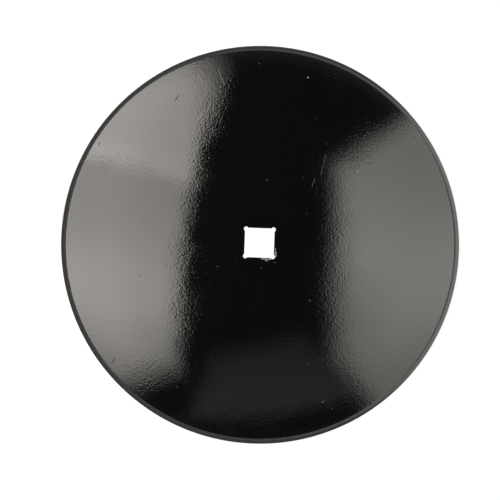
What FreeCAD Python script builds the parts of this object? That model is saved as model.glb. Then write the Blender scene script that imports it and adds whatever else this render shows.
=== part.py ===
import FreeCAD, Part
import math
import os

# Plain harrow disc blade: one dished steel disc with a bevelled rim and a square axle hole.
# It lies dome up, as it would on a floor. Lengths are in millimetres, +Z is the disc's axis,
# and the origin is on that axis in the plane that the rim rests on.

# Disc: a flat blank pressed to a shallow sphere
blade_diameter = 406.4    # across the cutting edge, where the rim meets the hollow face
plate_thickness = 3.5
dish_depth = 44.5         # from the plane of the cutting edge up to the hollow face's crown

# Rim: bevelled on the domed face, so that the hollow face runs out to the cutting edge
bevel_length = 6.2        # along the domed face, in from the rim
edge_land = 1.0           # steel left at the edge, square to the hollow face
edge_break = 0.3          # small flats that take the corners off the land, along each side
bevel_blend_round = 10.0  # soft line where the bevel runs out into the domed face

# Axle hole: a square punched through the crown, with a round relief in each corner
axle_square = 28.575      # gang axle, across its flats
axle_clearance = 0.3      # hole across its flats, less the axle
relief_radius = 2.2
relief_inset = 1.05       # relief's centre, in from both walls of its corner
relief_blend = 0.8        # soft corner where a relief runs out into the hole's straight side
mouth_round = 0.4         # rolled edge of the hole on both faces

# Worked out from the sizes above
edge_radius = blade_diameter / 2
hollow_radius = (edge_radius**2 + dish_depth**2) / (2 * dish_depth)
dome_radius = hollow_radius + plate_thickness
rim_slope = math.asin(edge_radius / hollow_radius)
bevel_slope = rim_slope - bevel_length / dome_radius
sphere_height = dish_depth - hollow_radius
hole_side = axle_square + axle_clearance
relief_offset = hole_side / 2 - relief_inset

axis_point = FreeCAD.Vector(0, 0, 0)
axis = FreeCAD.Vector(0, 0, 1)
touching = 1e-4           # what lies nearer than this is on the edge that is looked for


def on_section(radius, slope):
    """A point of the section, at a radius from the sphere's centre and an angle off the axis."""
    return FreeCAD.Vector(radius * math.sin(slope), 0, sphere_height + radius * math.cos(slope))


def meets_axis(start, end):
    """The point where the line through two points of the section meets the axis."""
    rise = (end.z - start.z) / (end.x - start.x)
    return FreeCAD.Vector(0, 0, start.z - start.x * rise)


def rim_blank():
    """A turned solid, shaped like a spinning top, whose waist has the rim's four narrow faces."""
    hollow_side = on_section(hollow_radius, rim_slope - edge_break / hollow_radius)
    land_start = on_section(hollow_radius + edge_break, rim_slope)
    land_end = on_section(hollow_radius + edge_land - edge_break, rim_slope)
    land_corner = on_section(hollow_radius + edge_land, rim_slope)
    bevel_top = on_section(dome_radius, bevel_slope)
    bevel_start = land_corner + (bevel_top - land_corner).normalize() * edge_break
    low_tip = meets_axis(land_start, hollow_side)
    high_tip = meets_axis(bevel_start, bevel_top)
    section = Part.makePolygon([low_tip, land_start, land_end, bevel_start, high_tip, low_tip])
    return Part.Face(section).revolve(axis_point, axis, 360)


def sphere(radius):
    """A sphere about the dish's centre, turned so that its poles and its seam lie off the blade."""
    return Part.makeSphere(radius, FreeCAD.Vector(0, 0, sphere_height), FreeCAD.Vector(0, -1, 0))


def dish():
    """The pressed disc: what the rim's solid has between the two spheres, with a soft bevel line."""
    disc = rim_blank().common(sphere(dome_radius)).cut(sphere(hollow_radius))
    bevel_top = Part.Vertex(on_section(dome_radius, bevel_slope))
    bevel_line = [edge for edge in disc.Edges if edge.Closed and edge.distToShape(bevel_top)[0] < touching]
    return disc.makeFillet(bevel_blend_round, bevel_line)


def is_run_out(edge):
    """True for an upright edge where a relief runs out into one of the hole's straight sides."""
    start = edge.Vertexes[0].Point
    end = edge.Vertexes[-1].Point
    upright = abs(end.z - start.z) > dish_depth
    outermost = max(abs(start.x), abs(start.y))
    return upright and abs(outermost - hole_side / 2) < touching


def punch():
    """The shape that the hole leaves out: a square with a round in each corner, longer than the hole."""
    length = 2 * (dish_depth + plate_thickness)
    corner = FreeCAD.Vector(-hole_side / 2, -hole_side / 2, 0)
    square = Part.makeBox(hole_side, hole_side, length, corner)
    reliefs = []
    for x_side in (-1, 1):
        for y_side in (-1, 1):
            foot = FreeCAD.Vector(x_side * relief_offset, y_side * relief_offset, 0)
            reliefs.append(Part.makeCylinder(relief_radius, length, foot, axis))
    tool = square.multiFuse(reliefs).removeSplitter()
    return tool.makeFillet(relief_blend, [edge for edge in tool.Edges if is_run_out(edge)])


def round_mouths(blade):
    """Rolls the hole's edges on both faces: the edges near the axis that lie on one of the spheres."""
    reach = hole_side / 2 + relief_radius
    mouths = []
    for edge in blade.Edges:
        box = edge.BoundBox
        near_axis = max(box.XMax, -box.XMin, box.YMax, -box.YMin) < reach
        upright = box.ZLength > plate_thickness / 2
        if near_axis and not upright:
            mouths.append(edge)
    return blade.makeFillet(mouth_round, mouths)


def disc_blade():
    """The finished blade, set down so that its lowest point is at the height of the origin."""
    blade = round_mouths(dish().cut(punch()))
    lowest = blade.optimalBoundingBox(False, False).ZMin
    blade.translate(FreeCAD.Vector(0, 0, -lowest))
    return blade


blade = disc_blade()
os.makedirs("parts", exist_ok=True)
blade.exportStep("parts/disc_blade.step")
box = blade.optimalBoundingBox(False, False)
print("disc_blade solids", len(blade.Solids), "valid", blade.isValid(), "volume", round(blade.Volume))
print("box", [round(v, 3) for v in (box.XMin, box.XMax, box.YMin, box.YMax, box.ZMin, box.ZMax)])
print("hollow radius", round(hollow_radius, 2), "rim slope", round(math.degrees(rim_slope), 2))
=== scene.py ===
# %% [markdown]
# A harrow disc blade is one dished steel disc. It is cut from plate, pressed to a shallow sphere,
# ground to a bevel round its rim, punched with a square hole for the gang's axle, and sprayed black.
#
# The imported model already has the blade's true form, as a mesh of large flat triangles. Gloss black
# paint is a mirror, and a mirror shows each triangle. So the lesson makes the same form again as a fine,
# evenly laid mesh, and puts the spray paint on it, with its orange peel, dust, scratches and chip.

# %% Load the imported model
import math

import bpy
from mathutils import Matrix, Vector


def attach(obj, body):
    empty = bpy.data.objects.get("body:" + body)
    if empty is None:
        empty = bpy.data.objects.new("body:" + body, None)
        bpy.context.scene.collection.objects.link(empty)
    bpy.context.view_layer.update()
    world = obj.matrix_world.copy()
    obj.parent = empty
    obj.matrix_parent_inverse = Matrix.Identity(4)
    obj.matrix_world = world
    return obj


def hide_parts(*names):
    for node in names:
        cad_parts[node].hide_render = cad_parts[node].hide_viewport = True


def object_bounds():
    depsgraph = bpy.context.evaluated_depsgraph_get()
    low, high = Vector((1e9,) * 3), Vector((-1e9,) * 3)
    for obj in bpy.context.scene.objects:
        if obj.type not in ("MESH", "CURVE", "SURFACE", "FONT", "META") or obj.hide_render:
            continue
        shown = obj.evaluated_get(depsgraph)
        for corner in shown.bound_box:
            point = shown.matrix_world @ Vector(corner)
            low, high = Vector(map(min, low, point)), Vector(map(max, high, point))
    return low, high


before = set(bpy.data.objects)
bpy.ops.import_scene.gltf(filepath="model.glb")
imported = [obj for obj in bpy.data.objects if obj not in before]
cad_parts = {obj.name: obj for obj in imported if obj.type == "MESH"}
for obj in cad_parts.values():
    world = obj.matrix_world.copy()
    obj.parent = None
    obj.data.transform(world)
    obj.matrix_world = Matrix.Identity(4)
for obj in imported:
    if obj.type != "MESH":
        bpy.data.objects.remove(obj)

cad_low, cad_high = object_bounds()
print("packed model, lowest and highest corner", [round(v, 5) for v in (*cad_low, *cad_high)])

# %% [markdown]
# The photograph looks down on the domed face from nearly straight above. Nothing in it gives the camera's
# height, so 1.18 m is assumed: from there, the hole of a 406.4 mm blade for a 28.575 mm axle shows about
# as large as the photograph's. The lean goes with that height: the hole, which is 47 mm nearer to the
# camera than the rim, shows two pixels above the middle of the rim's outline and half a pixel to its left.
# The hole's sides are turned two degrees clockwise, which is the camera's roll.
#
# The camera could be placed by hand until it looks right. Working it out from those few values keeps each
# of them named, the measured ones and the assumed one.

# %% The camera
FRAME_SIZE = 500                       # pixels along each side of the photograph
CAMERA_HEIGHT = 1.18                   # above the floor, assumed
LENS = 83.07                           # millimetres, on a sensor 36 mm wide
SENSOR = 36.0
LEAN_TO_LOWER_EDGE = math.radians(1.53)
LEAN_TO_RIGHT_EDGE = math.radians(0.28)
ROLL = math.radians(2.0)
BLADE_MIDDLE_IN_FRAME = (259.62, 244.08)

focal_pixels = LENS / SENSOR * FRAME_SIZE
frame_right = Vector((math.cos(ROLL), math.sin(ROLL), 0))
frame_up = Vector((-math.sin(ROLL), math.cos(ROLL), 0))


def make_camera():
    """The camera, aimed at the place on the floor that the frame's middle shows."""
    place = Vector((0, 0, CAMERA_HEIGHT))
    place += frame_right * CAMERA_HEIGHT * math.tan(LEAN_TO_RIGHT_EDGE)
    place -= frame_up * CAMERA_HEIGHT * math.tan(LEAN_TO_LOWER_EDGE)
    pixel = CAMERA_HEIGHT / focal_pixels
    aim = frame_right * (FRAME_SIZE / 2 - BLADE_MIDDLE_IN_FRAME[0]) * pixel
    aim -= frame_up * (FRAME_SIZE / 2 - BLADE_MIDDLE_IN_FRAME[1]) * pixel
    back = (place - aim).normalized()
    right = frame_up.cross(back).normalized()
    up = back.cross(right)
    data = bpy.data.cameras.new("camera")
    data.lens = LENS
    data.sensor_width = SENSOR
    camera = bpy.data.objects.new("camera", data)
    bpy.context.scene.collection.objects.link(camera)
    turn = Matrix((right, up, back)).transposed().to_4x4()
    camera.matrix_world = Matrix.Translation(place) @ turn
    bpy.context.scene.camera = camera
    return camera


camera = make_camera()
camera_place = camera.matrix_world.to_translation()
print("camera at", [round(v, 4) for v in camera_place])

# %% [markdown]
# The sizes are full size, estimated from the photograph and from what such blades usually have, and each
# has one name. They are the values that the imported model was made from, so the fine mesh lies on the
# packed one. The radius of the dish, the slope at the rim and all else follow from them inside the tree.

# %% The blade's sizes
MM = 0.001
BLADE_SIZES = {
    "Blade diameter": 406.4 * MM,
    "Plate thickness": 3.5 * MM,
    "Dish depth": 44.5 * MM,
    "Bevel length": 6.2 * MM,
    "Edge land": 1.0 * MM,
    "Edge break": 0.3 * MM,
    "Bevel round": 10.0 * MM,
    "Hole across flats": 28.875 * MM,
    "Relief radius": 2.2 * MM,
    "Relief inset": 1.05 * MM,
    "Relief blend": 0.8 * MM,
    "Mouth round": 0.4 * MM,
}
MESH_COUNTS = {
    "Columns": 480,                    # vertices round the blade
    "Dome rows": 76,                   # from the hole out to the bevel
    "Hollow rows": 60,
    "Mouth rows": 14,                  # through the hole, over both rolled edges
}

# %% [markdown]
# A node tree can be drawn by hand, one Math node after another. In a script, that hides what is worked
# out. Here a wire of a tree can stand in a sum: `radius * sine(slope)` adds the Math nodes that give it.
# The same helpers serve the geometry trees and the shaders.

# %% Helpers for node trees


class Wire:
    """One output of a node. Sums of wires and numbers add the Math nodes that work them out."""

    def __init__(self, socket):
        self.socket = socket

    def __add__(self, other):
        return maths("ADD", self, other)

    def __radd__(self, other):
        return maths("ADD", other, self)

    def __sub__(self, other):
        return maths("SUBTRACT", self, other)

    def __rsub__(self, other):
        return maths("SUBTRACT", other, self)

    def __mul__(self, other):
        return maths("MULTIPLY", self, other)

    def __rmul__(self, other):
        return maths("MULTIPLY", other, self)

    def __truediv__(self, other):
        return maths("DIVIDE", self, other)

    def __rtruediv__(self, other):
        return maths("DIVIDE", other, self)

    def __pow__(self, other):
        return maths("POWER", self, other)


def feed(socket, value):
    """Gives an input its value, or links a wire to it."""
    if isinstance(value, Wire):
        socket.id_data.links.new(value.socket, socket)
    else:
        socket.default_value = value


def add(tree, kind, inputs=None, **settings):
    """Adds a node with its settings, and feeds its inputs, which go by name or by number."""
    node = tree.nodes.new(kind)
    for name, value in settings.items():
        setattr(node, name, value)
    for key, value in (inputs or {}).items():
        feed(node.inputs[key], value)
    return node


def wire(node, output=0):
    """A node's output, by name or by number."""
    return Wire(node.outputs[output])


def maths(operation, *values):
    """A Math node on numbers and wires, of which at least one is a wire."""
    tree = next(v.socket.id_data for v in values if isinstance(v, Wire))
    return wire(add(tree, "ShaderNodeMath", dict(enumerate(values)), operation=operation))


def sine(angle):
    return maths("SINE", angle)


def cosine(angle):
    return maths("COSINE", angle)


def root(value):
    return maths("SQRT", value)


def point(x, y, z):
    """A vector from three numbers, of which at least one is a wire."""
    tree = next(v.socket.id_data for v in (x, y, z) if isinstance(v, Wire))
    return wire(add(tree, "ShaderNodeCombineXYZ", {0: x, 1: y, 2: z}))


def parts(vector):
    """The three numbers of a vector."""
    node = add(vector.socket.id_data, "ShaderNodeSeparateXYZ", {0: vector})
    return wire(node, 0), wire(node, 1), wire(node, 2)


def eased(value, start, end, low=0.0, high=1.0):
    """Goes softly from low to high, as a value goes from start to end."""
    node = add(value.socket.id_data, "ShaderNodeMapRange", {0: value, 1: start, 2: end, 3: low, 4: high},
               interpolation_type="SMOOTHSTEP")
    return wire(node)


def new_tree(name, kind, inputs, outputs):
    """A node group with named inputs and outputs, as (tree, {input name: wire}, output node)."""
    tree = bpy.data.node_groups.new(name, kind)
    for socket_name, (socket_kind, default) in inputs.items():
        socket = tree.interface.new_socket(socket_name, in_out="INPUT", socket_type=socket_kind)
        if default is not None:
            socket.default_value = default
    for socket_name, socket_kind in outputs.items():
        tree.interface.new_socket(socket_name, in_out="OUTPUT", socket_type=socket_kind)
    given = tree.nodes.new("NodeGroupInput")
    result = tree.nodes.new("NodeGroupOutput")
    return tree, {name: Wire(given.outputs[name]) for name in inputs}, result


def group(tree, group_tree, inputs):
    """A node group placed in a tree."""
    return add(tree, "ShaderNodeGroup", inputs, node_tree=group_tree)


def mix(tree, share, first, second):
    """A colour between two others."""
    node = add(tree, "ShaderNodeMix", {0: share, MIX_FIRST: first, MIX_SECOND: second}, data_type="RGBA")
    return wire(node, MIX_RESULT)


MIX_FIRST, MIX_SECOND, MIX_RESULT = 6, 7, 2     # where a Mix node has its sockets for colours
FLOAT = "NodeSocketFloat"
WHOLE = "NodeSocketInt"
VECTOR = "NodeSocketVector"
GEOMETRY = "NodeSocketGeometry"
MATERIAL = "NodeSocketMaterial"

# %% [markdown]
# The blade follows a rule, so Geometry Nodes make it. Modelling it by hand, or subdividing the packed
# mesh, would leave uneven faces, and the paint would mirror every one of them.
#
# The rule: each vertex has a column, which is its place round the blade, and a row, which is its place
# along the section. Four grids are bent to shape and welded: the domed face, the hollow face, the wall of
# the hole with its rolled edges, and the rim. On the two faces, a row near the hole follows the punched
# outline, and further out the rows relax to circles. The height always comes from the sphere itself.

# %% The tree: the blade's own measures
blade_inputs = {name: (FLOAT, size) for name, size in BLADE_SIZES.items()}
blade_inputs.update({name: (WHOLE, count) for name, count in MESH_COUNTS.items()})
blade_inputs["Paint"] = (MATERIAL, None)
blade_tree, given, blade_result = new_tree("blade", "GeometryNodeTree", blade_inputs, {"Geometry": GEOMETRY})

edge_radius = given["Blade diameter"] / 2
hollow_radius = (edge_radius ** 2 + given["Dish depth"] ** 2) / (given["Dish depth"] * 2)
dome_radius = hollow_radius + given["Plate thickness"]
rim_slope = maths("ARCSINE", edge_radius / hollow_radius)
bevel_slope = rim_slope - given["Bevel length"] / dome_radius
resting_slope = rim_slope - given["Edge break"] / hollow_radius
centre_height = hollow_radius * cosine(resting_slope) * -1


def on_section(radius, slope):
    """Radius and height of a point of the section, at a radius from the sphere's centre."""
    return radius * sine(slope), centre_height + radius * cosine(slope)


def sphere_height(sphere_radius, plan_radius):
    """Height of a sphere's top side over a place that far from the axis."""
    return centre_height + root(sphere_radius ** 2 - plan_radius ** 2)


# %% [markdown]
# The punched outline is a square with a round relief in each corner. A relief runs out into the square's
# sides through a small arc that bends the other way. One corner is three arcs, and the corner is turned
# three more times. A poly curve through all their points, in order, has the straight sides for free.

# %% The tree: the hole's outline
ARC_POINTS = {"run_in": 7, "relief": 25, "run_out": 7}
CORNER_POINTS = sum(ARC_POINTS.values())
QUARTER_TURN = math.pi / 2

half_side = given["Hole across flats"] / 2
relief_middle = half_side - given["Relief inset"]
blend_off_axis = half_side + given["Relief blend"]
blend_reach = given["Relief radius"] + given["Relief blend"]
blend_along = relief_middle - root(blend_reach ** 2 - (given["Relief inset"] + given["Relief blend"]) ** 2)
run_turn = maths("ARCCOSINE", (given["Relief inset"] + given["Relief blend"]) / blend_reach)


def arc(count, middle_x, middle_y, radius, start, sweep, first):
    """Points along an arc, numbered from first, so that a curve can go through them in order."""
    number = wire(add(blade_tree, "GeometryNodeInputIndex"))
    angle = start + sweep * (number / (count - 1))
    spot = point(middle_x + radius * cosine(angle), middle_y + radius * sine(angle), 0.0)
    dots = add(blade_tree, "GeometryNodePoints", {"Count": count, "Position": spot})
    return numbered(wire(dots), number + first)


def numbered(geometry, value):
    """Keeps each point's place in the order on the point."""
    return wire(add(blade_tree, "GeometryNodeStoreNamedAttribute",
                    {"Geometry": geometry, "Name": "order", "Value": value}, data_type="FLOAT"))


def joined(tree, pieces):
    """One geometry from several."""
    node = tree.nodes.new("GeometryNodeJoinGeometry")
    for piece in pieces:
        tree.links.new(piece.socket, node.inputs[0])
    return wire(node)


run_in = arc(ARC_POINTS["run_in"], blend_off_axis, blend_along, given["Relief blend"],
             math.pi, run_turn * -1, 0)
relief = arc(ARC_POINTS["relief"], relief_middle, relief_middle, given["Relief radius"],
             run_turn * -1, QUARTER_TURN + run_turn * 2, ARC_POINTS["run_in"])
run_out = arc(ARC_POINTS["run_out"], blend_along, blend_off_axis, given["Relief blend"],
              run_turn - QUARTER_TURN, run_turn * -1, ARC_POINTS["run_in"] + ARC_POINTS["relief"])
corner = joined(blade_tree, [run_in, relief, run_out])
order = wire(add(blade_tree, "GeometryNodeInputNamedAttribute", {"Name": "order"}, data_type="FLOAT"))
corners = []
for quarter in range(4):
    turned = add(blade_tree, "GeometryNodeTransform",
                 {"Geometry": corner, "Rotation": (0, 0, quarter * QUARTER_TURN)})
    corners.append(numbered(wire(turned), order + quarter * CORNER_POINTS))
strung = add(blade_tree, "GeometryNodePointsToCurves",
             {"Points": joined(blade_tree, corners), "Weight": order})
closed = add(blade_tree, "GeometryNodeSetSplineCyclic", {0: wire(strung), "Cyclic": True})
outline = wire(add(blade_tree, "GeometryNodeResampleCurve",
                   {"Curve": wire(closed), "Count": given["Columns"]}, mode="COUNT"))
corner_length = given["Relief blend"] * run_turn * 2 + given["Relief radius"] * (QUARTER_TURN + run_turn * 2)
outline_length = (blend_along * 2 + corner_length) * 4
first_column = QUARTER_TURN / 2 - corner_length / outline_length * math.pi

# %% [markdown]
# A grid one unit wide and high carries the column and the row of each vertex in its own x and y, so a
# formula on the position bends the grid into a sheet of the blade. Columns start where the outline's
# curve starts, just before a corner, and `first_column` is their angle there.

# %% The tree: sheets bent from grids
ROWS_NEAR_HOLE = 1.6                   # above 1, the rows crowd towards the hole, where the shape is fine
RELAX_REACH = 55 * MM                  # rows this far from the hole are circles with even columns


def grid(rows):
    """A flat grid, and the column and the row of its vertices, each from 0 to 1."""
    node = add(blade_tree, "GeometryNodeMeshGrid", {"Size X": 1.0, "Size Y": 1.0,
                                                    "Vertices X": given["Columns"] + 1, "Vertices Y": rows})
    x, y, _ = parts(wire(add(blade_tree, "GeometryNodeInputPosition")))
    return wire(node), x + 0.5, y + 0.5


def bent(flat, place):
    """The grid with each vertex moved to its place."""
    return wire(add(blade_tree, "GeometryNodeSetPosition", {"Geometry": flat, "Position": place}))


def off_outline(column, distance):
    """Radius and angle of the outline's point in a column, moved into the plate by a distance."""
    sample = add(blade_tree, "GeometryNodeSampleCurve", {"Curves": outline, "Factor": column}, mode="FACTOR")
    x, y, _ = parts(wire(sample, "Position"))
    along_x, along_y, _ = parts(wire(sample, "Tangent"))
    out_x = x + along_y * distance
    out_y = y - along_x * distance
    return root(out_x ** 2 + out_y ** 2), maths("ARCTAN2", out_y, out_x)


def face_sheet(sphere_radius, rows, outer_radius):
    """One of the two faces, from the hole's rolled edge out to a radius."""
    flat, column, row = grid(rows)
    inner_radius, inner_angle = off_outline(column, given["Mouth round"])
    even_angle = first_column + column * (2 * math.pi)
    gap = inner_angle - even_angle
    lag = maths("ARCTAN2", sine(gap), cosine(gap))
    plan_radius = inner_radius + (outer_radius - inner_radius) * row ** ROWS_NEAR_HOLE
    angle = even_angle + lag * (1 - eased(plan_radius - inner_radius, 0.0, RELAX_REACH))
    place = point(plan_radius * cosine(angle), plan_radius * sine(angle),
                  sphere_height(sphere_radius, plan_radius))
    return bent(flat, place)


def hole_sheet():
    """The wall of the hole and the rolled edge at each of its ends, from the dome to the hollow."""
    flat, column, row = grid(given["Mouth rows"])
    roll = row * math.pi
    mouth = given["Mouth round"]
    plan_radius, angle = off_outline(column, mouth * (1 - sine(roll)))
    upper = sphere_height(dome_radius, plan_radius) - mouth
    lower = sphere_height(hollow_radius, plan_radius) + mouth
    in_lower_half = maths("GREATER_THAN", row, 0.5)
    height = upper + (lower - upper) * in_lower_half + mouth * cosine(roll)
    return bent(flat, point(plan_radius * cosine(angle), plan_radius * sine(angle), height))


# %% [markdown]
# The rim is turned: its section is a short row of points, and each is swept round the axis. A point
# close before and after each corner keeps the shading of the faces flat right up to it. The bevel meets
# the dome in a round of 10 mm, whose arc touches both, so its middle lies where the two offsets cross.

# %% The tree: the rim's section
ROUND_STEPS = 10
HOLD = 0.12 * MM                       # from a corner to the point that holds the shading flat

land_radius, land_height = on_section(hollow_radius + given["Edge land"], rim_slope)
bevel_radius, bevel_height = on_section(dome_radius, bevel_slope)
run_out_radius = bevel_radius - land_radius
run_up = bevel_height - land_height
bevel_run = root(run_out_radius ** 2 + run_up ** 2)
bevel_normal = maths("ARCTAN2", run_up, run_out_radius * -1)
touch_gap = maths("ARCCOSINE", (dome_radius * cosine(bevel_normal - bevel_slope) - given["Bevel round"])
                  / (dome_radius - given["Bevel round"]))
touch_slope = bevel_normal - touch_gap
round_middle = on_section(dome_radius - given["Bevel round"], touch_slope)


def up_the_bevel(distance):
    """Radius and height of a point on the bevel, that far from the corner of the land."""
    share = distance / bevel_run
    return land_radius + run_out_radius * share, land_height + run_up * share


rim_section = [on_section(dome_radius, touch_slope - HOLD / dome_radius)]
for step in range(ROUND_STEPS + 1):
    facing = touch_slope + touch_gap * (step / ROUND_STEPS)
    rim_section.append((round_middle[0] + given["Bevel round"] * sine(facing),
                        round_middle[1] + given["Bevel round"] * cosine(facing)))
rim_section.append(up_the_bevel(given["Edge break"] + HOLD))
rim_section.append(up_the_bevel(given["Edge break"]))
land_top = hollow_radius + given["Edge land"] - given["Edge break"]
land_foot = hollow_radius + given["Edge break"]
rim_section.append(on_section(land_top, rim_slope))
rim_section.append(on_section(land_top - HOLD, rim_slope))
rim_section.append(on_section(land_foot + HOLD, rim_slope))
rim_section.append(on_section(land_foot, rim_slope))
rim_section.append(on_section(hollow_radius, resting_slope))
rim_section.append(on_section(hollow_radius, resting_slope - HOLD / hollow_radius))


def rim_sheet():
    """The rim's section, swept round the axis."""
    flat, column, row = grid(len(rim_section))
    number = maths("ROUND", row * (len(rim_section) - 1))
    pick = add(blade_tree, "GeometryNodeIndexSwitch", data_type="VECTOR")
    while len(pick.index_switch_items) < len(rim_section):
        pick.index_switch_items.new()
    feed(pick.inputs[0], number)
    for position, (radius, height) in enumerate(rim_section):
        feed(pick.inputs[position + 1], point(radius, 0.0, height))
    radius, _, height = parts(wire(pick))
    angle = first_column + column * (2 * math.pi)
    return bent(flat, point(radius * cosine(angle), radius * sine(angle), height))


# %% The tree: weld the sheets
WELD = 0.002 * MM

dome_sheet = face_sheet(dome_radius, given["Dome rows"], rim_section[0][0])
hollow_sheet = face_sheet(hollow_radius, given["Hollow rows"], rim_section[-1][0])
outward = [dome_sheet, rim_sheet()]
turned_over = wire(add(blade_tree, "GeometryNodeFlipFaces", {"Mesh": joined(blade_tree, outward)}))
sheets = joined(blade_tree, [turned_over, hollow_sheet, hole_sheet()])
welded = add(blade_tree, "GeometryNodeMergeByDistance", {"Geometry": sheets, "Distance": WELD})
smooth = add(blade_tree, "GeometryNodeSetShadeSmooth", {"Geometry": wire(welded), "Shade Smooth": True})
realized = add(blade_tree, "GeometryNodeRealizeInstances", {"Geometry": wire(smooth)})
painted = add(blade_tree, "GeometryNodeSetMaterial",
              {"Geometry": wire(realized), "Material": given["Paint"]})
feed(blade_result.inputs["Geometry"], wire(painted))
print("blade tree has", len(blade_tree.nodes), "nodes")

# %% [markdown]
# The finish is sprayed black enamel, and almost all that is seen of it is what it mirrors. Its colour is
# nearly nothing. What makes it paint is its surface: the fine dimples of orange peel, longer ripples where
# the coat lay wetter, dust that dried into it, and a few marks.
#
# These could be an image of bumps. Noise in the blade's own measures, in metres, is sharp at any distance
# and keeps its size. Each effect is a node group that gives a height or a mask.

# %% Shader groups: the paint's surface


def noise(tree, vector, pitch, detail=1.0):
    """Noise from 0 to 1 whose dimples are about a pitch apart."""
    return wire(add(tree, "ShaderNodeTexNoise", {"Vector": vector, "Scale": 1 / pitch, "Detail": detail}))


def peel_group():
    """Height of the sprayed coat: orange peel, and ripples that come and go over the face."""
    tree, given, result = new_tree("orange peel", "ShaderNodeTree", {
        "Vector": (VECTOR, None),
        "Peel pitch": (FLOAT, 1.75 * MM), "Peel height": (FLOAT, 0.115 * MM),
        "Ripple pitch": (FLOAT, 3.2 * MM), "Ripple height": (FLOAT, 0.075 * MM),
        "Sag pitch": (FLOAT, 24.0 * MM), "Sag height": (FLOAT, 0.05 * MM),
        "Wet patch": (FLOAT, 45.0 * MM),
    }, {"Height": FLOAT})
    at = given["Vector"]
    peel = noise(tree, at, given["Peel pitch"], detail=1.5)
    ripple = noise(tree, at, given["Ripple pitch"])
    sag = noise(tree, at, given["Sag pitch"])
    wetter = eased(noise(tree, at, given["Wet patch"], detail=2.0), 0.38, 0.66, low=0.5, high=1.0)
    height = peel * given["Peel height"] * wetter
    height = height + ripple * given["Ripple height"] * wetter
    height = height + sag * given["Sag height"]
    feed(result.inputs["Height"], height)
    return tree


def dust_group():
    """Height and mask of dust that dried into the coat: small domes, a few in each patch."""
    tree, given, result = new_tree("dust in the paint", "ShaderNodeTree", {
        "Vector": (VECTOR, None), "Spacing": (FLOAT, 7.0 * MM), "Radius": (FLOAT, 0.4 * MM),
        "Height": (FLOAT, 0.03 * MM), "Share": (FLOAT, 0.35),
    }, {"Height": FLOAT, "Mask": FLOAT})
    cells = add(tree, "ShaderNodeTexVoronoi", {"Vector": given["Vector"], "Scale": 1 / given["Spacing"]},
                feature="F1")
    distance = wire(cells, "Distance") * given["Spacing"]
    lot, size, _ = parts(wire(cells, "Color"))
    kept = maths("LESS_THAN", lot, given["Share"])
    radius = given["Radius"] * (0.35 + size * 0.65)
    dome = eased(distance / radius, 0.0, 1.0, 1.0, 0.0) * kept
    feed(result.inputs["Mask"], dome)
    feed(result.inputs["Height"], dome * given["Height"])
    return tree


def stroke_group():
    """Mask of a stroke between two places, with a wandering edge. Scratches, ticks and chips are strokes."""
    tree, given, result = new_tree("stroke", "ShaderNodeTree", {
        "Vector": (VECTOR, None), "From": (VECTOR, None), "To": (VECTOR, None),
        "Half width": (FLOAT, 0.3 * MM), "Raggedness": (FLOAT, 0.2 * MM), "Softness": (FLOAT, 0.3 * MM),
        "Tooth pitch": (FLOAT, 0.9 * MM),
    }, {"Mask": FLOAT})

    def vectors(operation, first, second, output=0):
        return wire(add(tree, "ShaderNodeVectorMath", {0: first, 1: second}, operation=operation), output)

    offset = vectors("SUBTRACT", given["Vector"], given["From"])
    whole = vectors("SUBTRACT", given["To"], given["From"])
    share = vectors("DOT_PRODUCT", offset, whole, "Value") / vectors("DOT_PRODUCT", whole, whole, "Value")
    within = maths("MINIMUM", maths("MAXIMUM", share, 0.0), 1.0)
    nearest = wire(add(tree, "ShaderNodeVectorMath", {0: whole, "Scale": within}, operation="SCALE"))
    distance = vectors("DISTANCE", offset, nearest, "Value")
    wander = (noise(tree, given["Vector"], given["Tooth pitch"], detail=2.0) - 0.5) * given["Raggedness"] * 4
    outside = distance + wander - given["Half width"]
    feed(result.inputs["Mask"], eased(outside / given["Softness"], -1.0, 0.0, 1.0, 0.0))
    return tree


peel_tree = peel_group()
dust_tree = dust_group()
stroke_tree = stroke_group()
print("shader groups:", [tree.name for tree in (peel_tree, dust_tree, stroke_tree)])

# %% [markdown]
# The marks that can be seen in the photograph are put where it shows them. A place in the frame is
# followed from the camera to the domed face, so each mark sits on the steel and not in the picture.

# %% Where the photograph shows the marks
hollow_size = ((BLADE_SIZES["Blade diameter"] / 2) ** 2 + BLADE_SIZES["Dish depth"] ** 2) / (
    2 * BLADE_SIZES["Dish depth"])
dome_size = hollow_size + BLADE_SIZES["Plate thickness"]
mouth_from_axis = BLADE_SIZES["Hole across flats"] / 2 + BLADE_SIZES["Mouth round"]
dome_middle = Vector((0, 0, cad_high.z - math.sqrt(dome_size ** 2 - mouth_from_axis ** 2)))


def on_dome(frame_x, frame_y):
    """The place on the domed face that shows at a place in the photograph."""
    turn = camera.matrix_world.to_3x3()
    ray = turn @ Vector((frame_x - FRAME_SIZE / 2, FRAME_SIZE / 2 - frame_y, -focal_pixels))
    ray.normalize()
    offset = camera_place - dome_middle
    half = offset.dot(ray)
    reach = -half - math.sqrt(half ** 2 - offset.length_squared + dome_size ** 2)
    return camera_place + ray * reach


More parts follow.
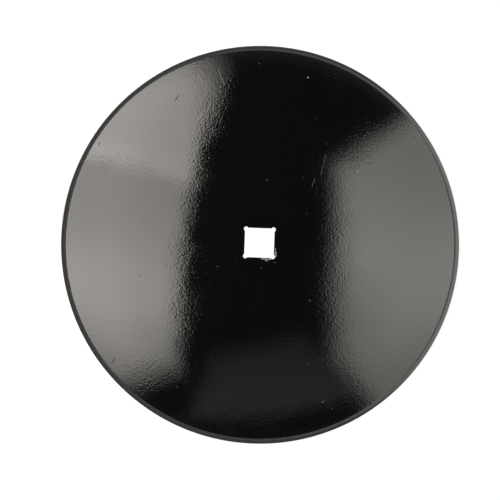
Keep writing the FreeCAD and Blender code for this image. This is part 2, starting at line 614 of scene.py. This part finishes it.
SCRATCHES = {                          # from, to, half width in mm, depth in mm
    "long_by_right_light": ((326, 155), (321, 175), 0.36, 0.06),
    "short_by_right_light": ((315, 179), (312, 187), 0.36, 0.06),
    "vee_left_arm": ((218, 70), (224, 85), 0.60, 0.10),
    "vee_right_arm": ((228, 77), (223, 87), 0.50, 0.08),
    "tick_upper_left": ((175, 101), (179, 95), 0.45, 0.14),
    "tick_left": ((98.5, 145.5), (100.0, 142.5), 0.45, 0.14),
    "tick_lower_left": ((115, 359), (112, 363), 0.50, 0.16),
    "curl_right": ((413.5, 136), (415.0, 139.5), 0.50, 0.22),
    "curl_right_foot": ((415.0, 139.5), (418.0, 140.0), 0.45, 0.20),
    "fleck_middle_left": ((139, 274), (140, 276), 0.42, 0.14),
    "fleck_right": ((418, 264.5), (418.5, 265.5), 0.35, 0.12),
    "fleck_left_rim_a": ((66.9, 229.0), (67.1, 230.0), 0.35, 0.12),
    "fleck_left_rim_b": ((67.3, 240.5), (67.3, 241.5), 0.35, 0.12),
    "fleck_left_rim_c": ((71.5, 246.0), (74.0, 244.8), 0.32, 0.10),
    "fleck_left_rim_d": ((67.8, 250.0), (67.8, 251.0), 0.35, 0.12),
    "fleck_left_rim_e": ((69.0, 253.6), (71.2, 253.6), 0.32, 0.10),
    "fleck_left_rim_f": ((71.1, 271.5), (71.1, 272.5), 0.32, 0.12),
    "fleck_left_rim_g": ((73.4, 278.6), (74.6, 278.6), 0.32, 0.10),
}
CHIPS = {                              # from, to, half width in mm
    "along_lower_wall": ((262.0, 258.5), (269.8, 258.9), 1.05),
    "tip": ((265.0, 259.4), (266.5, 260.6), 0.80),
    "on_right_wall": ((275.6, 252.2), (275.3, 256.4), 0.95),
    "notch": ((275.4, 248.6), (275.4, 250.0), 0.55),
    "spot_by_corner": ((274.8, 262.5), (275.0, 262.7), 0.35),
}


def strokes(tree, at, table, raggedness, softness):
    """The strokes of a table, as {name: mask wire}."""
    masks = {}
    for name, (start, end, half_width, *_) in table.items():
        node = group(tree, stroke_tree, {
            "Vector": at, "From": on_dome(*start), "To": on_dome(*end),
            "Half width": half_width * MM, "Raggedness": raggedness, "Softness": softness})
        node.label = name
        masks[name] = wire(node)
    return masks


print(len(SCRATCHES), "scratches and ticks, and a chip of", len(CHIPS), "strokes")

# %% [markdown]
# The enamel's own colour is under half a hundredth, so the face between the lights stays nearly black. Its
# specular level is fitted and not known: at 1 it mirrors about a twelfth of what it faces, and the lights
# that give the photograph's reflections still light a colour about as it is written. In the chip the paint
# is gone: there the surface is dull grey steel, and the film's edge is a step.

# %% The enamel
ENAMEL = (0.0029, 0.0036, 0.0033, 1)
BARE_STEEL = (0.33, 0.32, 0.31, 1)
DUST_GREY = (0.045, 0.044, 0.042, 1)
FILM = 0.09 * MM                       # how thick the paint lies on the steel
GLOSS = (0.05, 0.085)                  # roughness where the coat is clean and where it was handled
CHIP_ROUGHNESS = 0.38                  # added to the gloss
CHIP_METAL = 0.7                       # the rest is dirt on the bare steel
DUST_SHOWS = 0.5


def enamel_material():
    """Gloss black enamel, with its orange peel, dust, scratches and chip."""
    material = bpy.data.materials.new("gloss black enamel")
    material.use_nodes = True
    tree = material.node_tree
    shader = tree.nodes["Principled BSDF"]
    at = wire(add(tree, "ShaderNodeTexCoord"), "Object")

    peel = group(tree, peel_tree, {"Vector": at})
    dust = group(tree, dust_tree, {"Vector": at})
    scratch_masks = strokes(tree, at, SCRATCHES, raggedness=0.12 * MM, softness=0.5 * MM)
    chip_masks = strokes(tree, at, CHIPS, raggedness=0.35 * MM, softness=0.25 * MM)
    chipped = None
    for mask in chip_masks.values():
        chipped = mask if chipped is None else maths("MAXIMUM", chipped, mask)

    height = wire(peel) + wire(dust, "Height") - chipped * FILM
    for name, mask in scratch_masks.items():
        height = height - mask * (SCRATCHES[name][3] * MM)
    bump = add(tree, "ShaderNodeBump", {"Height": height, "Distance": 1.0, "Strength": 1.0})
    feed(shader.inputs["Normal"], wire(bump))

    colour = mix(tree, wire(dust, "Mask") * DUST_SHOWS, ENAMEL, DUST_GREY)
    colour = mix(tree, chipped, colour, BARE_STEEL)
    feed(shader.inputs["Base Color"], colour)
    handled = eased(noise(tree, at, 30 * MM, detail=3.0), 0.35, 0.7, *GLOSS)
    feed(shader.inputs["Roughness"], handled + chipped * CHIP_ROUGHNESS)
    feed(shader.inputs["Metallic"], chipped * CHIP_METAL)
    shader.inputs["Specular IOR Level"].default_value = 1.0
    return material


paint = enamel_material()
print("enamel has", len(paint.node_tree.nodes), "nodes")

# %% [markdown]
# The modifier runs the tree on an empty mesh. Its result is copied out as a plain mesh and the modifier
# goes, so that the piece is left as it stands.

# %% Make the blade


def made_by(tree, name, values, start_mesh=None):
    """An object whose plain mesh is what the tree makes of a start mesh and of named values."""
    thing = bpy.data.objects.new(name, start_mesh or bpy.data.meshes.new(name))
    bpy.context.scene.collection.objects.link(thing)
    modifier = thing.modifiers.new("maker", "NODES")
    modifier.node_group = tree
    for socket in tree.interface.items_tree:
        if socket.in_out == "INPUT" and socket.name in values:
            modifier[socket.identifier] = values[socket.name]
    bpy.context.view_layer.update()
    evaluated = thing.evaluated_get(bpy.context.evaluated_depsgraph_get())
    mesh = bpy.data.meshes.new_from_object(evaluated)
    thing.modifiers.remove(modifier)
    thing.data = mesh
    mesh.name = name
    return thing


def count_triangles(mesh):
    return sum(len(face.vertices) - 2 for face in mesh.polygons)


blade = made_by(blade_tree, "painted_blade", {**BLADE_SIZES, **MESH_COUNTS, "Paint": paint})
print("blade", len(blade.data.vertices), "vertices,", count_triangles(blade.data), "triangles")
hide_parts("disc_blade")
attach(blade, "root")

# %% [markdown]
# Dust that fell into the wet paint stands up as nibs: tiny domes of enamel that catch the light as
# sparks in the dark part. A bump map would do from afar, but a nib has its own outline up close.
#
# The large ones sit where the photograph shows them. The fine ones are strewn by a seeded rule.

# %% The dust nibs
NIBS = {                               # place in the photograph, radius in mm
    "brightest": ((308.0, 77.5), 0.80),
    "top": ((259.5, 63.5), 0.40),
    "in_right_light": ((358.0, 171.5), 0.50),
    "above_right_light": ((368.0, 132.5), 0.38),
    "right_pair_a": ((327.0, 144.0), 0.30),
    "right_pair_b": ((341.0, 152.0), 0.30),
    "upper_right_a": ((316.0, 118.0), 0.25),
    "upper_middle_a": ((267.0, 180.0), 0.38),
    "upper_middle_b": ((303.0, 178.0), 0.25),
    "right_edge_a": ((330.0, 201.0), 0.28),
    "right_of_hole": ((306.5, 213.5), 0.28),
    "in_left_light": ((152.0, 230.0), 0.45),
    "upper_left_edge": ((209.0, 158.0), 0.42),
    "left_of_hole_a": ((193.0, 244.0), 0.36),
    "left_of_hole_b": ((201.0, 253.0), 0.24),
    "left_of_hole_c": ((206.0, 261.0), 0.28),
    "row_left_a": ((217.0, 266.5), 0.28),
    "row_left_b": ((219.0, 266.5), 0.24),
    "row_left_c": ((198.0, 277.5), 0.34),
    "row_left_d": ((206.0, 273.0), 0.22),
    "row_left_e": ((210.0, 283.0), 0.20),
    "row_left_f": ((203.0, 298.5), 0.28),
    "low_right_a": ((309.5, 300.5), 0.42),
    "low_right_b": ((313.0, 353.0), 0.30),
    "low_right_c": ((307.5, 364.5), 0.34),
    "low_right_d": ((319.0, 362.5), 0.30),
    "smear_a": ((322.5, 402.0), 0.48),
    "smear_b": ((324.5, 400.0), 0.42),
    "by_smear_a": ((328.0, 408.0), 0.32),
    "by_smear_b": ((332.0, 408.5), 0.38),
    "low_left_a": ((150.0, 379.0), 0.38),
    "low_left_b": ((177.0, 387.0), 0.38),
    "by_hole": ((234.4, 253.3), 0.22),
    "under_hole": ((261.0, 268.0), 0.30),
}
print(len(NIBS), "nibs have a place of their own")

# %% The tree: nibs on the dome
NIB_FLATNESS = 0.5                     # height of a nib above the paint, as a share of its radius


def nib_tree():
    """Sets a flattened ball, half sunk in the paint, on each given vertex and on strewn points."""
    tree, given, result = new_tree("dust nibs", "GeometryNodeTree", {
        "Geometry": (GEOMETRY, None),
        "Dome middle height": (FLOAT, 0.0), "Dome radius": (FLOAT, 0.49),
        "Strewn": (WHOLE, 260), "Nearest": (FLOAT, 22 * MM), "Farthest": (FLOAT, 194 * MM),
        "Finest": (FLOAT, 0.05 * MM), "Coarsest": (FLOAT, 0.22 * MM), "Seed": (WHOLE, 7),
        "Paint": (MATERIAL, None),
    }, {"Geometry": GEOMETRY})

    def random(low, high, extra):
        return wire(add(tree, "FunctionNodeRandomValue",
                        {2: low, 3: high, "Seed": given["Seed"] + extra}, data_type="FLOAT"), 1)

    spread = random(0.0, 1.0, 0)
    inner = given["Nearest"] ** 2
    radius = root(inner + (given["Farthest"] ** 2 - inner) * spread)
    angle = random(0.0, 2 * math.pi, 1)
    height = given["Dome middle height"] + root(given["Dome radius"] ** 2 - radius ** 2)
    place = point(radius * cosine(angle), radius * sine(angle), height)
    strewn = add(tree, "GeometryNodePoints", {"Count": given["Strewn"], "Position": place})
    size = given["Finest"] + (given["Coarsest"] - given["Finest"]) * random(0.0, 1.0, 2) ** 3
    sized = add(tree, "GeometryNodeStoreNamedAttribute",
                {"Geometry": wire(strewn), "Name": "size", "Value": size}, data_type="FLOAT")
    chosen = add(tree, "GeometryNodeMeshToPoints", {"Mesh": given["Geometry"]})
    spots = joined(tree, [wire(chosen), wire(sized)])

    ball = add(tree, "GeometryNodeMeshUVSphere", {"Segments": 8, "Rings": 5, "Radius": 1.0})
    smooth = add(tree, "GeometryNodeSetShadeSmooth", {"Geometry": wire(ball), "Shade Smooth": True})
    middle = point(0.0, 0.0, given["Dome middle height"])
    here = wire(add(tree, "GeometryNodeInputPosition"))
    outward = wire(add(tree, "ShaderNodeVectorMath", {0: here, 1: middle}, operation="SUBTRACT"))
    turn = add(tree, "FunctionNodeAlignRotationToVector", {"Vector": outward}, axis="Z")
    named = wire(add(tree, "GeometryNodeInputNamedAttribute", {"Name": "size"}, data_type="FLOAT"))
    set_down = add(tree, "GeometryNodeInstanceOnPoints",
                   {"Points": spots, "Instance": wire(smooth), "Rotation": wire(turn),
                    "Scale": point(named, named, named * NIB_FLATNESS)})
    realized = add(tree, "GeometryNodeRealizeInstances", {"Geometry": wire(set_down)})
    painted = add(tree, "GeometryNodeSetMaterial", {"Geometry": wire(realized), "Material": given["Paint"]})
    feed(result.inputs["Geometry"], wire(painted))
    return tree


# %% Make the nibs
PALE_DUST = (0.62, 0.60, 0.56, 1)


def nib_spots():
    """A mesh with one vertex for each nib of the list, which carries its size."""
    mesh = bpy.data.meshes.new("nib spots")
    mesh.from_pydata([on_dome(*place) for place, _ in NIBS.values()], [], [])
    sizes = mesh.attributes.new("size", "FLOAT", "POINT")
    for entry, (_, radius) in zip(sizes.data, NIBS.values()):
        entry.value = radius * MM
    return mesh


def nib_material():
    """Enamel over a grain of pale dust. The larger the grain, the thinner the paint on it."""
    material = bpy.data.materials.new("dust under enamel")
    material.use_nodes = True
    tree = material.node_tree
    shader = tree.nodes["Principled BSDF"]
    size = wire(add(tree, "ShaderNodeAttribute", attribute_name="size"), "Fac")
    at = wire(add(tree, "ShaderNodeTexCoord"), "Object")
    patchy = eased(noise(tree, at, 4 * MM), 0.3, 0.7, low=0.5, high=1.0)
    bared = eased(size, 0.1 * MM, 0.5 * MM) * patchy
    feed(shader.inputs["Base Color"], mix(tree, bared, ENAMEL, PALE_DUST))
    shader.inputs["Roughness"].default_value = 0.3
    shader.inputs["Specular IOR Level"].default_value = 1.0
    return material


nibs = made_by(nib_tree(), "paint_nibs", {
    "Dome middle height": dome_middle.z, "Dome radius": dome_size, "Paint": nib_material(),
}, nib_spots())
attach(nibs, "root")
print("nibs", len(NIBS), "placed,", count_triangles(nibs.data), "triangles in all")

# %% [markdown]
# A domed mirror shows everything above it, so the studio is what the photograph mostly shows. Two big soft
# panels stand in for it, one on each side, with a dark gap between them overhead, and a faint card low
# between them. The outline of each comes from where its edges show in the dome: a ray from the camera,
# mirrored there, goes on to the panel.
#
# Area lamps are only rectangles and discs. Panels cut from a mesh can have slanted ends, and a soft border
# in their own shader.

# %% The outlines of the lights
PANEL_HEIGHT = 2.2
LOW_CARD_HEIGHT = 2.25
LEFT_PANEL = {                         # corner: x, y from above, and how soft the border is from it on
    "lower_right": (-1.14, -1.68, 0.50),
    "right_low": (-0.945, -0.20, 0.12),
    "right_high": (-0.855, 1.00, 0.30),
    "upper_right": (-0.76, 2.20, 1.00),
    "top_right": (-1.15, 3.60, 1.00),
    "top": (-2.40, 4.60, 0.30),
    "upper_left": (-4.40, 4.60, 0.30),
    "lower_left": (-4.40, -3.90, 0.70),
}
RIGHT_PANEL = {
    "upper_left": (0.95, 1.06, 0.40),
    "left_middle": (0.935, 0.20, 0.65),
    "left_low": (1.01, -0.70, 0.50),
    "lower_left": (1.13, -1.50, 0.50),
    "lower_right": (4.30, -5.35, 0.30),
    "upper_right": (4.30, 3.94, 0.50),
}
LOW_CARD = {
    "upper_left": (-0.55, -1.45, 0.40),
    "lower_left": (-1.15, -3.00, 0.40),
    "lower_right": (1.65, -2.35, 0.40),
    "upper_right": (0.60, -1.15, 0.40),
}
print("corners of the lights:", len(LEFT_PANEL), len(RIGHT_PANEL), len(LOW_CARD))

# %% [markdown]
# Along each edge of an outline, the light fades over a border of its own width. What is left of it at a
# place is the smallest share that any edge leaves. The card itself is clear, so that light from one behind
# it is added to its own.

# %% A card with a soft border
CARD_MARGIN = 0.5                      # how far a card's mesh goes on past its light, at least


def border_group():
    """From 0 to 1 over a border along the line between two corners, rising to the left of the line."""
    tree, given, result = new_tree("soft border", "ShaderNodeTree", {
        "Vector": (VECTOR, None), "From": (VECTOR, None), "To": (VECTOR, None), "Width": (FLOAT, 0.2),
    }, {"Share": FLOAT})
    x, y, _ = parts(given["Vector"])
    from_x, from_y, _ = parts(given["From"])
    to_x, to_y, _ = parts(given["To"])
    run_x = to_x - from_x
    run_y = to_y - from_y
    length = root(run_x ** 2 + run_y ** 2)
    inside = ((y - from_y) * run_x - (x - from_x) * run_y) / length
    feed(result.inputs["Share"], eased(inside / given["Width"], -0.5, 0.5))
    return tree


border_tree = border_group()


def soft_share(tree, at, corners):
    """How much of a card's light is left near its border."""
    share = None
    for index, (x, y, softness) in enumerate(corners):
        next_x, next_y, _ = corners[(index + 1) % len(corners)]
        edge = wire(group(tree, border_tree, {"Vector": at, "From": (x, y, 0), "To": (next_x, next_y, 0),
                                              "Width": softness}))
        share = edge if share is None else maths("MINIMUM", share, edge)
    return share


def ramp(value, stops):
    """A level that goes softly through stops, each (place, level)."""
    node = add(value.socket.id_data, "ShaderNodeValToRGB", {0: value})
    node.color_ramp.interpolation = "CARDINAL"
    elements = node.color_ramp.elements
    while len(elements) < len(stops):
        elements.new(0.5)
    for element, (place, level) in zip(elements, stops):
        element.position = place
        element.color = (level / RAMP_UNIT, level / RAMP_UNIT, level / RAMP_UNIT, 1)
    return wire(node) * RAMP_UNIT


RAMP_UNIT = 10                         # a ramp's colours end at 1, so it holds a tenth of each level


def card(name, height, corners, level_of, tint):
    """A glowing card overhead, which the camera doesn't see. level_of gives its level from a place."""
    middle = Vector((sum(c[0] for c in corners), sum(c[1] for c in corners))) / len(corners)
    grown = []
    for x, y, softness in corners:
        outward = (Vector((x, y)) - middle).normalized()
        grown.append(Vector((x, y)) + outward * max(softness, CARD_MARGIN))
    mesh = bpy.data.meshes.new(name)
    mesh.from_pydata([(x, y, height) for x, y in grown], [], [tuple(reversed(range(len(corners))))])
    panel = bpy.data.objects.new(name, mesh)
    bpy.context.scene.collection.objects.link(panel)
    panel.visible_camera = False
    material = bpy.data.materials.new(name)
    material.use_nodes = True
    tree = material.node_tree
    tree.nodes.remove(tree.nodes["Principled BSDF"])
    at = wire(add(tree, "ShaderNodeTexCoord"), "Object")
    x, y, _ = parts(at)
    strength = soft_share(tree, at, corners) * level_of(x, y)
    glow = add(tree, "ShaderNodeEmission", {"Color": tint, "Strength": strength})
    clear = add(tree, "ShaderNodeBsdfTransparent")
    both = add(tree, "ShaderNodeAddShader", {0: wire(glow), 1: wire(clear)})
    feed(tree.nodes["Material Output"].inputs["Surface"], wire(both))
    mesh.materials.append(material)
    return panel


# %% [markdown]
# No soft panel is even, and the levels are fitted to the photograph's reflections. The left panel is made
# of two panes, with a bright line along the slanted seam between them. Both panels are brightest near the
# middle and darker along the inner side, low down.

# %% How bright the lights are
LEFT_REACH = (-3.2, 1.8)               # from and to where the lower pane's levels run
LEFT_LEVELS = [(0.0, 0.8), (0.2, 1.85), (0.29, 2.6), (0.42, 3.5), (0.53, 3.75), (0.6, 3.55), (0.7, 3.05),
               (0.85, 2.8), (1.0, 2.8)]
UPPER_PANE = 3.75
SEAM_AT = 0.40                         # the seam between the panes, along the direction below
SEAM_FACING = (0.347, 0.938)
SEAM_GLINT = 0.9
RIGHT_REACH = (-3.2, 2.0)
RIGHT_LEVELS = [(0.0, 1.0), (0.25, 1.4), (0.42, 2.0), (0.58, 2.2), (0.75, 1.85), (0.9, 1.58), (1.0, 1.5)]
LEFT_TINT = (1.02, 0.974, 0.915, 1)
RIGHT_TINT = (1.012, 0.986, 0.925, 1)
LOW_TINT = (1.0, 1.0, 1.0, 1)


def shaded_low(level, x, sides, shades, y, heights):
    """A level with a shade that goes from one value to another across, and only low on the card."""
    shade = eased(x, *sides, *shades) * eased(y, *heights, 1.0, 0.0)
    return level * (1 - shade)


def left_level(x, y):
    """Two panes: an even, brighter one, and below the seam one that is brightest at its middle."""
    lower = ramp((y - LEFT_REACH[0]) / (LEFT_REACH[1] - LEFT_REACH[0]), LEFT_LEVELS)
    across_seam = x * SEAM_FACING[0] + y * SEAM_FACING[1] - SEAM_AT
    upper_share = eased(across_seam, -0.03, 0.05)
    glint = eased(across_seam, -0.02, 0.04) * eased(across_seam, 0.05, 0.5, low=1.0, high=0.0)
    glint = glint * eased(x, -3.2, -1.4, low=1.0, high=0.4)
    level = lower + (UPPER_PANE - lower) * upper_share + glint * SEAM_GLINT
    level = level * eased(x, -2.5, -0.9, low=1.0, high=0.80) * eased(y, 2.7, 3.8, low=1.0, high=0.6)
    return shaded_low(level, x, (-2.2, -1.3), (0.0, 0.14), y, (-1.3, -0.7))


def right_level(x, y):
    """Brightest low in its middle, and a little darker along its inner side."""
    level = ramp((y - RIGHT_REACH[0]) / (RIGHT_REACH[1] - RIGHT_REACH[0]), RIGHT_LEVELS)
    level = level * eased(x, 1.2, 2.6, low=1.03, high=0.98)
    return shaded_low(level, x, (1.0, 2.3), (0.28, 0.0), y, (-0.9, 0.1))


def low_level(_, y):
    """Hardly lit: it only lifts the dark third of the blade from black to charcoal."""
    return eased(y, -2.6, -1.2, low=0.17, high=0.12)


left_light = card("left_light", PANEL_HEIGHT, list(LEFT_PANEL.values()), left_level, LEFT_TINT)
right_light = card("right_light", PANEL_HEIGHT, list(RIGHT_PANEL.values()), right_level, RIGHT_TINT)
low_card = card("low_card", LOW_CARD_HEIGHT, list(LOW_CARD.values()), low_level, LOW_TINT)
print("lights:", [thing.name for thing in (left_light, right_light, low_card)])

# %% [markdown]
# The floor is pale and the background white. For the camera the floor glows at three quarters of white,
# and the light that falls on it makes up the rest, so its lit part is white and the blade's shadow stays
# on it. In mirrors it glows only on the right, to follow the ring of light at the rim. A white card lies
# under the blade, where no lamp reaches, so the axle hole shows white too. Both are clear from below.
#
# The world is white for the camera alone. In mirrors it is dark overhead and pale round the horizon, which
# the bevel mirrors on its way to the floor.

# %% The floor, the card under the hole, and the world
FLOOR_RADIUS = 30.0
FLOOR_GREY = (0.32, 0.32, 0.32, 1)
FLOOR_GLOW = 0.74                      # for the camera
FLOOR_MIRRORED = 1.0                   # in the bevel, right of the blade
CARD_RADIUS = 0.17
CARD_LIFT = 0.1 * MM
CARD_WHITE = (0.8, 0.8, 0.8, 1)
DISC_STEPS = 96
HORIZON_LEFT = 0.55
HORIZON_RIGHT = 0.9
OVERHEAD_GLOW = 0.008
WHITE = (1, 1, 1, 1)


def seen_directly(tree):
    """1 for the rays that show a background: the camera's, mirrored ones and those through glass."""
    path = add(tree, "ShaderNodeLightPath")
    seen = wire(path, "Is Camera Ray") + wire(path, "Is Glossy Ray") + wire(path, "Is Transmission Ray")
    return maths("MINIMUM", seen, 1.0)


def disc(name, radius, height):
    """A flat stage disc."""
    mesh = bpy.data.meshes.new(name)
    angles = [2 * math.pi * step / DISC_STEPS for step in range(DISC_STEPS)]
    ring = [(radius * math.cos(angle), radius * math.sin(angle), height) for angle in angles]
    mesh.from_pydata(ring, [], [tuple(range(DISC_STEPS))])
    thing = bpy.data.objects.new(name, mesh)
    bpy.context.scene.collection.objects.link(thing)
    return thing


def glowing(name, colour, strength_of):
    """A matt surface with a glow of its own. From below it is clear, so that the blade's hollow shows."""
    material = bpy.data.materials.new(name)
    material.use_nodes = True
    tree = material.node_tree
    tree.nodes.remove(tree.nodes["Principled BSDF"])
    matt = add(tree, "ShaderNodeBsdfDiffuse", {"Color": colour})
    glow = add(tree, "ShaderNodeEmission", {"Color": WHITE, "Strength": strength_of(tree)})
    both = add(tree, "ShaderNodeAddShader", {0: wire(matt), 1: wire(glow)})
    from_below = wire(add(tree, "ShaderNodeNewGeometry"), "Backfacing")
    clear = add(tree, "ShaderNodeBsdfTransparent")
    sided = add(tree, "ShaderNodeMixShader", {0: from_below, 1: wire(both), 2: wire(clear)})
    feed(tree.nodes["Material Output"].inputs["Surface"], wire(sided))
    return material


def floor_strength(tree):
    """For the camera an even glow. In mirrors, the floor is brighter towards the right light."""
    path = add(tree, "ShaderNodeLightPath")
    x, _, _ = parts(wire(add(tree, "ShaderNodeTexCoord"), "Object"))
    mirrored = eased(x, 0.11, 0.21, low=0.0, high=FLOOR_MIRRORED)
    direct = maths("MINIMUM", wire(path, "Is Camera Ray") + wire(path, "Is Transmission Ray"), 1.0)
    return direct * FLOOR_GLOW + wire(path, "Is Glossy Ray") * mirrored


floor = disc("floor", FLOOR_RADIUS, 0.0)
floor.data.materials.append(glowing("pale floor", FLOOR_GREY, floor_strength))
white_card = disc("white_card", CARD_RADIUS, CARD_LIFT)
white_card.data.materials.append(glowing("white card", CARD_WHITE, seen_directly))

world = bpy.data.worlds.new("studio")
bpy.context.scene.world = world
world.use_nodes = True
world_tree = world.node_tree
sideways, _, rise = parts(wire(add(world_tree, "ShaderNodeTexCoord"), "Generated"))
horizon = eased(sideways, -0.4, 0.8, HORIZON_LEFT, HORIZON_RIGHT)
around = OVERHEAD_GLOW + (horizon - OVERHEAD_GLOW) * eased(rise, 0.22, 0.60, low=1.0, high=0.0)
camera_sees = wire(add(world_tree, "ShaderNodeLightPath"), "Is Camera Ray")
background = world_tree.nodes["Background"]
background.inputs["Color"].default_value = WHITE
feed(background.inputs["Strength"], around + (1 - around) * camera_sees)
bpy.context.scene.view_settings.view_transform = "Standard"
print("stage:", floor.name, white_card.name, world.name)
